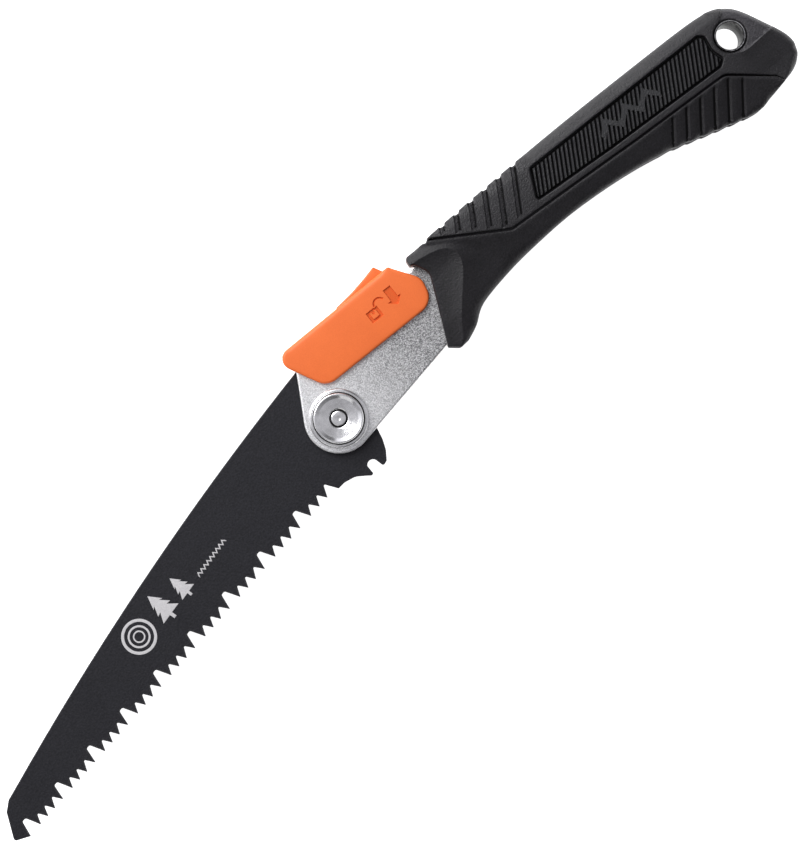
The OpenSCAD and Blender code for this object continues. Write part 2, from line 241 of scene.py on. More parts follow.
class Edge:
    """A closed loop with the material on its left, and how its rim is rounded at each point.

    rim is the rounding's width, drop its height, low the height where the outer wall ends, and wall
    how far the inner face is set in.
    """

    def __init__(self, *stretches, spacing=0.8):
        points, values = [], []
        for line, *settings in stretches:
            points.append(densify(line, spacing)[:-1])
            values.append(np.tile(np.array(settings, float), (len(points[-1]), 1)))
        self.point = np.vstack(points)
        self.normal = normals_of(self.point)
        asked, drop, self.low, wall = np.vstack(values).T
        self.rim = self.safe(asked)
        self.drop = drop * self.rim / np.maximum(asked, 1e-6)
        self.wall = np.minimum(wall, self.safe(np.full(len(asked), FAR_AWAY)))

    def safe(self, width):
        """Narrows a rim near tight corners and thin places, so that its rings never cross."""
        p = self.point
        before, after = p - np.roll(p, 1, 0), np.roll(p, -1, 0) - p
        lengths = np.linalg.norm(before, axis=1), np.linalg.norm(after, axis=1)
        cross = before[:, 0] * after[:, 1] - before[:, 1] * after[:, 0]
        turn = np.arctan2(cross, (before * after).sum(1))
        radius = (lengths[0] + lengths[1]) / 2 / np.maximum(turn, 1e-6)
        limit = np.minimum(width, np.maximum(CORNER_SHARE * radius, SMALLEST_RIM))
        limit = np.minimum(limit, ROOM_SHARE * self.room())
        for step, gaps in 2 * ((1, lengths[0]), (-1, lengths[1])):
            for i in range(len(p))[::step]:
                limit[i] = min(limit[i], limit[(i - step) % len(p)] + RIM_GROWTH * gaps[i])
        return limit

    def room(self):
        """How far each point can look inwards before it meets the loop again."""
        a, step = self.point, np.roll(self.point, -1, 0) - self.point
        room = np.full(len(a), FAR_AWAY)
        for i, (p, n) in enumerate(zip(self.point, self.normal)):
            det = n[0] * -step[:, 1] + n[1] * step[:, 0]
            det = np.where(np.abs(det) < 1e-9, 1e-9, det)
            to_a = a - p
            ray = (to_a[:, 0] * -step[:, 1] + to_a[:, 1] * step[:, 0]) / det
            along = (n[0] * to_a[:, 1] - n[1] * to_a[:, 0]) / det
            hit = (ray > 1e-3) & (along >= 0) & (along <= 1)
            if hit.any():
                room[i] = ray[hit].min()
        return room

    def ring(self, share):
        """The loop moved in by a share of its rim."""
        return self.point + self.normal * (self.rim * share)[:, None]


def plain_edge(loop, rim, drop, low, wall=0.0, spacing=0.8):
    """An Edge with the same rounding all round."""
    return Edge((looped(loop), rim, drop, low, wall), spacing=spacing)


def lattice(low, high, spacing):
    """A triangular grid of points over a rectangle."""
    rows = np.arange(low[1], high[1], spacing * ROW_HEIGHT)
    parts = []
    for i, y in enumerate(rows):
        x = np.arange(low[0] + (i % 2) * spacing / 2, high[0], spacing)
        parts.append(pairs(x, y))
    return np.vstack(parts)


def clear_of(points, others, gap):
    """The points that stay a gap away from all others."""
    tree = kdtree.KDTree(len(others))
    for i, p in enumerate(others):
        tree.insert((p[0], p[1], 0), i)
    tree.balance()
    keep = [tree.find((p[0], p[1], 0))[2] > gap for p in points]
    return points[np.array(keep, bool)]


def triangulate(loops, extra, creases):
    """Triangles that fill the loops. Returns the points, the triangles and each loop point's index."""
    boundary = np.vstack(loops)
    points = [Vector(p) for p in boundary]
    edges, start = [], 0
    for loop in loops:
        n = len(loop)
        edges += [(start + i, start + (i + 1) % n) for i in range(n)]
        start += n
    for line in creases:
        edges += [(len(points) + i, len(points) + i + 1) for i in range(len(line) - 1)]
        points += [Vector(p) for p in line]
    points += [Vector(p) for p in extra]
    made, _, faces, origins, _, _ = geometry.delaunay_2d_cdt(points, edges, [], 1, 1e-5)
    made = np.array([tuple(p) for p in made])
    faces = np.array([f for f in faces if len(f) == 3])
    keep = within(made[faces].mean(1), loops)
    index = {source: i for i, sources in enumerate(origins) for source in sources if source < len(boundary)}
    return made, faces[keep], index


class Builder:
    """Collects vertices (mm) and faces, and turns them into one closed object."""

    def __init__(self):
        self.points = []
        self.faces = []

    def add(self, xy, z):
        first = len(self.points)
        self.points += [(x, y, h) for (x, y), h in zip(xy, np.broadcast_to(z, len(xy)))]
        return list(range(first, len(self.points)))

    def band(self, a, b):
        n = len(a)
        self.faces += [(a[i], a[(i + 1) % n], b[(i + 1) % n], b[i]) for i in range(n)]

    def cap(self, loops, rings, top, extra=np.empty((0, 2)), creases=(), flip=False):
        """Fills the loops, whose vertices are already there as rings."""
        made, faces, index = triangulate(loops, extra, creases)
        flat = [v for ring in rings for v in ring]
        target = {made_i: flat[source] for source, made_i in index.items()}
        fresh = [i for i in range(len(made)) if i not in target]
        heights = top(made[fresh]) if fresh else []
        target.update(zip(fresh, self.add(made[fresh], heights)))
        order = -1 if flip else 1
        self.faces += [tuple(target[i] for i in f[::order]) for f in faces]


def runs_inside(line, loops, gap=0.3):
    """The stretches of a line that lie inside the first loop and outside the others, clear of them all."""
    keep = within(line, loops)
    for loop in loops:
        keep &= distance_to(line, looped(loop)) > gap
    runs = np.split(np.arange(len(line)), np.flatnonzero(np.diff(keep.astype(int))) + 1)
    return [line[run] for run in runs if keep[run[0]] and len(run) > 2]


def cushion(edges, top, spacing=1.2, base=None, creases=(), steps=6, base_creases=()):
    """A rounded solid: an upper face top(xy) with rounded rims, walls, and a base or an open lower side.

    base is a height or a function of xy. The face's triangles follow the creases, where it turns sharply.
    """
    b = Builder()
    under_face = base if callable(base) else lambda xy: np.full(len(xy), 0.0 if base is None else base)
    outer, last, bottom, bottom_rings = [], [], [], []
    angles = [math.pi / 2 * k / steps for k in range(steps + 1)]
    for e in edges:
        rings = []
        start = top(e.point) - e.drop
        low = np.minimum(e.low, start)
        if (start - low).max() > 1e-3:
            rings.append(b.add(e.point, low))
        for angle in angles:
            ring = e.ring(1 - math.cos(angle))
            rings.append(b.add(ring, np.maximum(top(ring) - e.drop * (1 - math.sin(angle)), low)))
        for lower, upper in zip(rings, rings[1:]):
            b.band(lower, upper)
        last.append(ring)
        outer.append(rings[-1])
        if base is not None:
            inner = e.point + e.normal * e.wall[:, None]
            under = b.add(inner, low)
            deep = b.add(inner, under_face(inner))
            b.band(under, rings[0])
            b.band(deep, under)
            bottom.append(inner)
            bottom_rings.append(deep)
    lows = np.min([p.min(0) for p in last], 0)
    highs = np.max([p.max(0) for p in last], 0)
    grid = lattice(lows, highs, spacing)
    grid = clear_of(grid[within(grid, last)], np.vstack(last), spacing * RIM_CLEAR)
    creases = [run for line in creases for run in runs_inside(line, last)]
    if creases:
        grid = clear_of(grid, np.vstack(creases), spacing * CREASE_CLEAR)
    b.cap(last, outer, top, grid, creases)
    if base is not None:
        folds = [run for line in base_creases for run in runs_inside(line, bottom)]
        b.cap(bottom, bottom_rings, under_face, creases=folds, flip=True)
    return b


def mirrored(builder):
    """Adds the builder's mirror image below the middle plane."""
    n = len(builder.points)
    builder.points += [(x, y, -z) for x, y, z in builder.points]
    builder.faces += [tuple(v + n for v in reversed(f)) for f in builder.faces]
    return builder


def flipped(builder):
    """Turns the builder upside down."""
    builder.points = [(x, y, -z) for x, y, z in builder.points]
    return builder


def lathe(profile, centre=(0, 0), count=96):
    """A closed profile of (radius, z) turned about a vertical axis."""
    b = Builder()
    rings = []
    for radius, z in profile:
        rings.append(b.add(arc(centre, max(radius, 1e-4), 0, 360, count)[:-1], z))
    for lower, upper in zip(rings, rings[1:] + rings[:1]):
        b.band(lower, upper)
    return b


def placed(name, data):
    """A new object of the scene."""
    thing = bpy.data.objects.new(name, data)
    bpy.context.collection.objects.link(thing)
    return thing


def finished(name, builders, materials, body="handle", sharp=32, far=False, turn=0.0, is_node=True):
    """One closed, smoothed object from builders, riding on a body and standing for its CAD node."""
    bm = bmesh.new()
    for builder in builders:
        points = np.array(builder.points)
        if turn:
            points[:, :2] = turned(points[:, :2], turn)
        if far:
            points[:, 2] *= -1
        made = [bm.verts.new(Vector(p) * MM + PIVOT) for p in points]
        for f in builder.faces:
            if len(set(f)) == len(f):
                try:
                    bm.faces.new([made[v] for v in f])
                except ValueError:
                    pass
    bmesh.ops.remove_doubles(bm, verts=bm.verts, dist=MERGE_DISTANCE)
    bmesh.ops.dissolve_degenerate(bm, dist=1e-7, edges=bm.edges)
    bmesh.ops.delete(bm, geom=[edge for edge in bm.edges if not edge.link_faces], context="EDGES")
    bmesh.ops.recalc_face_normals(bm, faces=bm.faces)
    limit = math.radians(sharp)
    for face in bm.faces:
        face.smooth = True
    for edge in bm.edges:
        edge.smooth = len(edge.link_faces) == 2 and edge.calc_face_angle(0) < limit
    open_edges = sum(1 for edge in bm.edges if len(edge.link_faces) != 2)
    if open_edges:
        print(f"MESH {name}: {open_edges} edges without two faces")
    mesh = bpy.data.meshes.new(name)
    bm.to_mesh(mesh)
    bm.free()
    piece = placed(name, mesh)
    for material in materials:
        mesh.materials.append(material)
    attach(piece, body)
    if is_node:
        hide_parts(name)
    return piece


def paint(piece, slot, chosen):
    """Gives the faces whose middles (mm from the pivot) and normals are chosen the material in a slot."""
    polygons = piece.data.polygons
    spots = np.array([(face.center - PIVOT) / MM for face in polygons])
    normals = np.array([face.normal for face in polygons])
    for i in np.flatnonzero(chosen(spots, normals)):
        polygons[i].material_index = slot


def paint_outside(piece, slot, chosen):
    """The same for the faces that look away from the middle plane, chosen by their (x, y)."""
    def outer(spots, normals):
        return chosen(spots[:, :2]) & (normals[:, 2] * np.sign(spots[:, 2]) > 0.3)

    paint(piece, slot, outer)


# ---------------------------------------------------------------- materials
def grey(value):
    return (value, value, value)


def feed(tree, node, inputs):
    """Sets a node's inputs to constants, or links them to other nodes' outputs."""
    for name, value in inputs.items():
        if isinstance(value, bpy.types.NodeSocket):
            tree.links.new(value, node.inputs[name])
        else:
            node.inputs[name].default_value = value


def add_node(tree, kind, inputs):
    """A new shader node with its inputs fed."""
    node = tree.nodes.new(kind)
    feed(tree, node, inputs)
    return node


def calculated(tree, kind, operation, *inputs):
    """The value of a new Math or Vector Math node."""
    node = tree.nodes.new(kind)
    node.operation = operation
    feed(tree, node, dict(enumerate(inputs)))
    return node.outputs["Value"]


def colour_ramp(tree, value, stops):
    """The colour for a value, from (position, colour) stops."""
    node = add_node(tree, "ShaderNodeValToRGB", {"Fac": value})
    elements = node.color_ramp.elements
    while len(elements) < len(stops):
        elements.new(0.5)
    for element, (position, colour) in zip(elements, stops):
        element.position = position
        element.color = (*colour, 1)
    return node.outputs["Color"]


def mixed(tree, factor, a, b):
    """Colour a at a factor of 0, b at 1."""
    node = tree.nodes.new("ShaderNodeMix")
    node.data_type = "RGBA"
    feed(tree, node, {"Factor": factor, "A": a, "B": b})
    return node.outputs["Result"]


class Surface:
    """A Principled material with helpers for its procedural nodes, in object coordinates (metres)."""

    def __init__(self, name, metallic=0.0, specular=0.5, edge_tint=1.0):
        self.material = bpy.data.materials.new(name)
        self.material.use_nodes = True
        self.tree = self.material.node_tree
        self.place = self.tree.nodes.new("ShaderNodeTexCoord").outputs["Object"]
        self.shade({"Metallic": metallic, "Specular IOR Level": specular,
                    "Specular Tint": (*grey(edge_tint), 1)})

    def shade(self, inputs):
        """Feeds inputs of the Principled shader."""
        feed(self.tree, self.tree.nodes["Principled BSDF"], inputs)

    def noise(self, size_mm, detail=3.0, roughness=0.6, stretch=None):
        """Noise whose features are about size_mm wide. stretch is a scale and a turn about z."""
        place = self.place
        if stretch:
            mapping = {"Vector": place, "Scale": stretch[0], "Rotation": (0, 0, stretch[1])}
            place = add_node(self.tree, "ShaderNodeMapping", mapping).outputs["Vector"]
        inputs = {"Vector": place, "Scale": 1 / (size_mm * MM), "Detail": detail, "Roughness": roughness}
        return add_node(self.tree, "ShaderNodeTexNoise", inputs).outputs["Fac"]

    def fade(self, value, low, high, start=0.3, end=0.7):
        """From colour low to colour high while the value goes from start to end."""
        return colour_ramp(self.tree, value, [(start, low), (end, high)])

    def blend(self, factor, a, b):
        return mixed(self.tree, factor, a, b)

    def colour(self, value):
        self.shade({"Base Color": value})

    def rough(self, value, low, high):
        self.shade({"Roughness": self.fade(value, grey(low), grey(high))})

    def bump(self, *layers):
        """Stacks (height, depth in mm, strength) bumps."""
        normal = {}
        for height, depth, strength in layers:
            inputs = {"Height": height, "Distance": depth * MM, "Strength": strength, **normal}
            normal = {"Normal": add_node(self.tree, "ShaderNodeBump", inputs).outputs["Normal"]}
        self.shade(normal)


def grained(name, grain, low, high, rough, bump, end=0.7, **look):
    """A material whose colour, roughness and bump all follow one noise."""
    s = Surface(name, **look)
    noise = s.noise(*grain)
    s.colour(s.fade(noise, low, high, end=end))
    s.rough(noise, *rough)
    s.bump((noise, *bump))
    return s.material


def blade_coating():
    s = Surface("blade_coating", metallic=0.15, specular=0.40)
    mottle, grain = s.noise(9, 4), s.noise(0.7, 2)
    s.colour(s.blend(0.7, s.fade(mottle, (0.006, 0.006, 0.009), (0.010, 0.010, 0.014)),
                     s.fade(grain, (0.002, 0.002, 0.004), (0.017, 0.017, 0.022), 0.32, 0.68)))
    s.rough(mottle, 0.46, 0.58)
    s.bump((grain, 0.18, 0.8), (s.noise(3, 3), 0.05, 0.15))
    return s.material


# The direction from the plates' bright, calmer grain round the pivot to their darker, rougher grain towards
# the handle, and its two ends in mm. The brightening round the pivot and the darkening towards the handle
# are painted light and shade; the rougher grain is the steel's own.
SHADE_ALONG = Vector((1, 0.25, 0))
SHADE_SPAN = (3, 42)


def sand_steel():
    """Nickel-plated steel with a sparkling grain, calmer round the pivot, brighter round the pivot and
    darker towards the handle as painted light and shade.
    """
    s = Surface("sand_steel", metallic=0.85)
    grain, fine = s.noise(0.46, 2, 0.7), s.noise(0.3, 2)
    along = calculated(s.tree, "ShaderNodeVectorMath", "DOT_PRODUCT", s.place, SHADE_ALONG)
    start, end = (PIVOT.dot(SHADE_ALONG) + distance * MM for distance in SHADE_SPAN)
    shade_share = add_node(s.tree, "ShaderNodeMapRange", {"Value": along, "From Min": start, "From Max": end})
    # Painted light and shade: the first ramp is the grain brightened round the pivot, the second the grain
    # darkened towards the handle.
    lit_calm = s.fade(grain, grey(0.58), grey(0.96), 0.36, 0.64)
    rough = colour_ramp(s.tree, grain, [(0.38, grey(0.15)), (0.50, grey(0.40)), (0.62, grey(0.76))])
    s.colour(s.blend(shade_share.outputs["Result"], lit_calm, rough))
    s.rough(fine, 0.34, 0.50)
    s.bump((grain, 0.14, 0.8), (fine, 0.06, 0.6))
    return s.material


def lever_plastic():
    s = Surface("lever_plastic", specular=0.4)
    cloud, grain = s.noise(12, 3), s.noise(0.3, 2)
    s.colour(s.blend(0.4, s.fade(cloud, (0.82, 0.155, 0.030), (0.90, 0.18, 0.036)),
                     s.fade(grain, (0.78, 0.14, 0.026), (0.95, 0.205, 0.045))))
    s.rough(grain, 0.40, 0.56)
    s.bump((grain, 0.02, 0.35), (cloud, 0.05, 0.1))
    return s.material


def soft_rubber(name, specular, low, high):
    s = Surface(name, specular=specular)
    cloud, grain = s.noise(14, 4), s.noise(0.65, 2)
    s.colour(s.blend(0.7, s.fade(cloud, low, high), s.fade(grain, low, high, 0.32, 0.68)))
    s.rough(cloud, 0.42, 0.54)
    s.bump((grain, 0.30, 0.9), (s.noise(2.2, 3), 0.04, 0.12))
    return s.material


def plain_metal(name, low, high, rough, edge_tint=1.0):
    brushed = (0.8, 3, 0.6, ((1, 0.1, 1), 0.4))
    return grained(name, brushed, low, high, rough, (0.008, 0.3), metallic=1.0, edge_tint=edge_tint)


def turned_chrome():
    """Polished, with the faint rings that turning leaves."""
    s = Surface("turned_chrome", metallic=0.9)
    centred = add_node(s.tree, "ShaderNodeMapping", {"Vector": s.place, "Location": -PIVOT})
    rings = add_node(s.tree, "ShaderNodeTexWave", {"Vector": centred.outputs["Vector"], "Detail": 2,
                                                   "Scale": 1 / (0.9 * MM), "Distortion": 0.6})
    rings.wave_type = "RINGS"
    rings.rings_direction = "Z"
    cloud = s.noise(3, 3)
    s.colour(s.fade(cloud, grey(0.74), grey(0.94)))
    s.rough(cloud, 0.12, 0.22)
    s.bump((rings.outputs["Fac"], 0.012, 0.6), (s.noise(0.5, 2), 0.006, 0.3))
    return s.material


M_BLADE = blade_coating()
M_GROUND = grained("ground_edge", (0.6, 3, 0.6, ((1, 0.08, 1), 0.3)), (0.018, 0.018, 0.021),
                   (0.045, 0.044, 0.048), (0.32, 0.46), (0.02, 0.4), end=0.72, metallic=0.4)
M_PRINT = grained("pale_print", (0.35, 2), (0.50, 0.49, 0.50), (0.62, 0.61, 0.61), (0.5, 0.65),
                  (0.01, 0.3), end=0.6, specular=0.3)
M_PLATE = sand_steel()
M_CHROME = turned_chrome()
# Painted shade: near-black on the chrome parts inside the gaps round the bolt and under the nut's edge
M_GAP_SHADE = grained("gap_shade_dark", (0.3, 3), grey(0.004), grey(0.014), (0.4, 0.6), (0.05, 0.5), specular=0.4)
M_LEVER = lever_plastic()
# The floor of the lever's moulded signs: eroded to a rough grain, and darker orange than the lever as
# painted shade in the recess
M_RECESS = grained("lever_recess", (0.25, 2), (0.66, 0.10, 0.017), (0.80, 0.13, 0.025), (0.6, 0.75),
                   (0.04, 0.6), specular=0.25)
M_UPPER = soft_rubber("upper_rubber", 0.57, grey(0), (0.0145, 0.0128, 0.0160))
# The lower grip's rubber is the upper grip's rubber made darker and less glossy, as painted shade on the
# grip's lower side
M_LOWER_SHADED = soft_rubber("lower_rubber_shaded", 0.40, grey(0), (0.0130, 0.0114, 0.0144))
M_PANEL = soft_rubber("panel_rubber", 0.6, (0.001, 0.001, 0.002), (0.015, 0.015, 0.017))
# A brighter copy of the rubber for the tail's facet: painted light where the facet faces the lamp
M_LIT_FACET = soft_rubber("facet_highlight_rubber", 0.6, (0.009, 0.008, 0.0105), (0.056, 0.053, 0.059))
# Painted shade: a darker, duller rubber on the floors of narrow moulded gaps and in the dark bands of the
# finger steps
M_SHADED = grained("shaded_rubber", (0.5, 2), grey(0.0010), grey(0.0035), (0.6, 0.75), (0.03, 0.4),
                   specular=0.12)
M_CORE = grained("hard_plastic", (0.4, 3), (0.014, 0.014, 0.016), (0.026, 0.026, 0.029), (0.5, 0.65),
                 (0.02, 0.3), specular=0.4)
M_STEEL = plain_metal("inner_steel", grey(0.34), grey(0.46), (0.3, 0.42))
M_BRONZE = plain_metal("bearing_bronze", (0.48, 0.33, 0.14), (0.62, 0.44, 0.2), (0.3, 0.42))
# The tube's streaks run from near black to pale grey: partly its brushed grain, partly painted glints and
# dark reflections
M_TUBE = plain_metal("tube_metal", grey(0.06), grey(0.70), (0.12, 0.25), edge_tint=0.14)


# ---------------------------------------------------------------- blade
FIRST_TOOTH = np.array([-207.5, 1.5])
LAST_TOOTH = np.array([-28.0, -15.0])
TOOTH_GROUPS = 9
GROUPS_FROM = -204
GROUP_PITCH = 19
GROUP_GROWTH = 0.17
TOOTH_SHARES = (0.14, 0.37, 0.585, 0.84)
DEEP_GULLET = 6.3
DEEP_GULLET_SPAN = (-0.8, 1.0)
SMALL_GULLET = 4.2
BACK_TOP = (-50, 26.1)
BACK_SPREAD = 2540
CAM_R = 26.1
NOTCH_R = 2.3
NOTCH_AT_R = 23.1
SLEEVE_BORE = 5.05


def on_tooth_line(x, depth, radius):
    slope = (LAST_TOOTH[1] - FIRST_TOOTH[1]) / (LAST_TOOTH[0] - FIRST_TOOTH[0])
    return (x, FIRST_TOOTH[1] + slope * (x - FIRST_TOOTH[0]) + depth, radius)


def group_start(k):
    """Where a group of teeth starts: the groups grow towards the heel."""
    return GROUPS_FROM + GROUP_PITCH * k + GROUP_GROWTH * k * k


def tooth_corners():
    """The teeth from tip to heel: deep round gullets between groups of close teeth."""
    corners = [(*FIRST_TOOTH, 0.15)]
    for k in range(TOOTH_GROUPS):
        x0, width = group_start(k), group_start(k + 1) - group_start(k)
        shares = TOOTH_SHARES[:3] if k == TOOTH_GROUPS - 1 else TOOTH_SHARES
        corners += [on_tooth_line(x0 + shift, DEEP_GULLET, 0.8) for shift in DEEP_GULLET_SPAN]
        for i, share in enumerate(shares):
            corners.append(on_tooth_line(x0 + width * share, 0, 0.12))
            if i + 1 < len(shares):
                middle = share + 0.6 * (shares[i + 1] - share)
                corners.append(on_tooth_line(x0 + width * middle, SMALL_GULLET, 0.45))
    return corners


def notch_points(angle):
    """The round lock notch, walked so that the blade stays on its left."""
    middle = NOTCH_AT_R * np.array([math.cos(math.radians(angle)), math.sin(math.radians(angle))])
    return arc(middle, NOTCH_R, angle - 90, angle - 270, 14)


def blade_outline():
    """The teeth stretch and the rest of the outline, counter-clockwise."""
    heel = rounded([LAST_TOOTH, (-25, -10.3, 0.5), (-22.7, -16.4, 0.4), (-19.5, -16.9, 2), (-15, -19, 6),
                    (-12.4, -22, 4), (-10.3, -24.6, 0.9), (-8.6, -22.8)], closed=False)[1:-1]
    hook = rounded([(-5.2, -22.0), (-4.7, -25.6, 0.9), (-2.4, -25.4, 1), (1, -22.5, 5), (3.6, -19, 5),
                    (5.7, -15)], closed=False)[1:]
    tang = np.vstack(([[9, -10]], arc((0, 0), 12.5, -40, 20, 6), arc((0, 0), CAM_R, 44, 55.2, 6),
                      notch_points(61)[2:-2], arc((0, 0), CAM_R, 66.8, 74, 4)))
    back_x = np.arange(5, -196, -6.0)
    back = pairs(back_x, BACK_TOP[1] - (back_x - BACK_TOP[0]) ** 2 / BACK_SPREAD)
    tip = rounded([(-190, 18.4), (-201, 17.2, 3), (-205.5, 14.9, 2), (-213, 5.6, 1.2), FIRST_TOOTH],
                  closed=False)[1:-1]
    teeth = rounded(tooth_corners() + [(-26, -12)], closed=False)[:-1]
    return teeth, np.vstack((heel, notch_points(-107.7)[2:-2], hook, tang, back, tip))


def flat_top(height):
    return lambda xy: np.full(len(xy), float(height))


def circle_edge(centre, radius, rim, drop, low, wall=0.0, hole=True, count=48):
    points = arc(centre, radius, 360, 0, count) if hole else arc(centre, radius, 0, 360, count)
    return Edge((points, rim, drop, low, wall))


def make_blade():
    teeth, rest = blade_outline()
    edge = Edge((joined(teeth, rest), 0.75, 0.5, 0, 0), (joined(rest, teeth), 0.35, 0.3, 0, 0), spacing=1.5)
    bore = circle_edge((0, 0), SLEEVE_BORE, 0.15, 0.15, 0)
    half = cushion([edge, bore], flat_top(HALF_BLADE), spacing=5, steps=2)
    blade = finished("saw_blade", [mirrored(half)], [M_BLADE, M_GROUND], "blade", sharp=15,
                     turn=BLADE_ANGLE)
    paint(blade, 1, lambda _, normals: (abs(normals[:, 2]) > 0.3) & (abs(normals[:, 2]) < 0.97))


def ring_loops(centre, outer, inner, count=64):
    return [arc(centre, outer, 0, 360, count)[:-1], arc(centre, inner, 360, 0, count)[:-1]]


def conifer(x, y, height):
    """A generic fir tree in outline, standing on (x, y)."""
    w = height * 0.36
    levels = [(0.16, 1.0, 0.42), (0.40, 0.80, 0.32), (0.62, 0.58, 0.0)]
    right = [(0.07, 0.0), (0.07, 0.16)]
    for level, spread, tuck in levels:
        right += [(spread * 0.5, level), (tuck * 0.5, level + 0.27)]
    right[-1] = (0.0, 1.0)
    left = [(-px, py) for px, py in reversed(right[:-1])]
    return np.array([(x + px * 2 * w, y + py * height) for px, py in right + left])


def zigzag(x0, x1, y, pitch, height, thickness):
    """A strip of saw teeth."""
    count = round((x1 - x0) / pitch)
    lower = [(x0 + pitch * i / 2, y + height * (i % 2)) for i in range(2 * count + 1)]
    upper = [(px, py + thickness) for px, py in reversed(lower)]
    return np.array(lower + upper)


def make_mark():
    """A plain printed mark on the blade: a log's rings, two fir trees and a strip of teeth."""
    log = (-117.5, 13.3)
    shapes = [ring_loops(log, 7.2, 6.0), ring_loops(log, 4.6, 3.8), ring_loops(log, 2.5, 1.9),
              [conifer(-102.5, 6.2, 14)], [conifer(-91.5, 6.2, 11)],
              [zigzag(-84, -66, 7.4, 2.0, 1.5, 0.8)]]
    film = 0.03
    builders = []
    for loops in shapes:
        edges = [plain_edge(loop, 0.05, 0.01, HALF_BLADE) for loop in loops]
        builders.append(cushion(edges, flat_top(HALF_BLADE + film), 4, HALF_BLADE - film, steps=1))
    finished("blade_mark", builders, [M_PRINT], "blade", turn=BLADE_ANGLE, is_node=False)


# ---------------------------------------------------------------- bolster and pivot
BOLT_BORE = 3.02
PLATE_END = np.array([130, 28.2])
CUP_RADIUS = 12
CUP_SEAT = 9.0
CUP_GROOVE = 0.25
NUT_RADIUS = 10
NUT_ROUND = 0.5


def make_plate(side, far):
    front = fillet(PLATE_END, np.array([0.1, 28.2]), np.array([-12.1, 7.0]), 1.2)
    foot = [(51, -4.1), (57.5, -2.8), (74, 9), (130, 11), PLATE_END]
    outline = np.vstack((arc((0, 0), 14, 150, 281.3, 40), foot, front))
    bore = circle_edge((0, 0), BOLT_BORE, 0.2, 0.2, PLATE_IN)
    edge = plain_edge(outline, 0.75, 0.6, PLATE_IN)
    body = cushion([edge, bore], flat_top(PLATE_OUT), 6, PLATE_IN, steps=2)
    finished(f"frame_plate_{side}", [body], [M_PLATE], sharp=15, far=far)


def turned_part(name, builders, low, high, radius, far=False):
    """A chrome piece, painted near-black as shade in its gaps nearer the pivot's axis than radius and
    between two heights.
    """
    def chosen(spots, _):
        x, y, z = abs(spots.T)
        return (np.hypot(x, y) < radius) & (low < z) & (z < high)

    piece = finished(name, builders, [M_CHROME, M_GAP_SHADE], sharp=28, far=far)
    paint(piece, 1, chosen)


def make_cup(side, far):
    """The washer under the nut: a rounded outer lip, a groove under the nut's edge, and the nut's seat."""
    lip = [(CUP_RADIUS - 0.3, PLATE_OUT), (CUP_RADIUS, PLATE_OUT + 0.25), (CUP_RADIUS, PLATE_OUT + 0.5),
           (11.85, PLATE_OUT + 0.8), (11.5, NUT_BASE - 0.12), (11.0, NUT_BASE), (10.5, NUT_BASE - 0.1)]
    groove = [(10.3, NUT_BASE - CUP_GROOVE), (CUP_SEAT, NUT_BASE - CUP_GROOVE), (CUP_SEAT, NUT_BASE)]
    profile = [(BOLT_BORE, PLATE_OUT)] + lip + groove + [(BOLT_BORE, NUT_BASE)]
    turned_part(f"cup_washer_{side}", [lathe(profile)], 0, NUT_BASE, 10.7, far)


def nut_rim(top):
    """The outside of the nut and of the bolt's head, up to the edge of the dish."""
    corner = arc((NUT_RADIUS - NUT_ROUND, top - NUT_ROUND), NUT_ROUND, 0, 90, 7).tolist()
    return [(9.7, NUT_BASE), (NUT_RADIUS, NUT_BASE + 0.3)] + corner + [(9.3, top), (9.15, top - 0.05)]


def dish(top, depth, inner):
    """The hollow face inside the rim: a steep border, then a shallow slope towards the middle."""
    border = [(9.0, top - 0.12), (8.2, top - 0.6), (8.0, top - 0.68)]
    return border + [(7.8 - (7.8 - inner) * t, top - 0.72 - depth * t) for t in np.linspace(0, 1, 10)]


def make_nut():
    face = dish(NUT_TOP, 0.75, 3.85)
    seat = NUT_BASE + 0.8
    inner = [(3.75, face[-1][1] - 0.08), (3.75, seat), (BOLT_BORE, seat), (BOLT_BORE, NUT_BASE)]
    profile = nut_rim(NUT_TOP) + face + inner
    turned_part("pivot_nut", [lathe(profile)], seat - 0.1, face[-1][1] - 0.1, 3.8)


def make_bolt():
    end = height_of("pivot_bolt", 1)
    shank = lathe([(0, -NUT_BASE - 1), (3, -NUT_BASE - 1), (3, end - 0.35), (2.9, end - 0.12), (2.65, end),
                   (1.0, end), (0.6, end - 0.15), (0, end - 0.2)])
    face = dish(NUT_TOP, 0.4, 4.6)
    level = face[-1][1]
    socket = NUT_BASE + 1.4
    head = lathe(nut_rim(NUT_TOP) + face + [(3.4, level), (3.4, socket), (0, socket), (0, NUT_BASE)])
    hexagon = Edge((arc((0, 0), 2.9, 360, 0, 6), 0.1, 0.1, socket, 0))
    collar = cushion([circle_edge((0, 0), 3.45, 0.01, 0.01, socket, hole=False), hexagon], flat_top(level),
                     spacing=3, base=socket - 0.2, steps=2)
    turned_part("pivot_bolt", [shank, flipped(head), flipped(collar)], NUT_BASE, end - 0.5, 3.05)


# ---------------------------------------------------------------- lock lever
CHEEK_MIDDLE = 23
CHEEK_CROWN = 0.0022
ICON_WALL = 0.2
ICON_DEPTH = 0.6
SHACKLE_AT = (41.1, 25.6)


def engraving(xy, loops, wall):
    """1 on the floor of engraved loops (even-odd), 0 outside, with a narrow slope between."""
    sunk = np.zeros(len(xy), bool)
    gap = np.full(len(xy), FAR_AWAY)
    for loop in loops:
        sunk ^= inside(xy, loop)
        gap = np.minimum(gap, distance_to(xy, looped(loop)))
    return np.where(sunk, np.clip(gap / wall, 0, 1), 0)


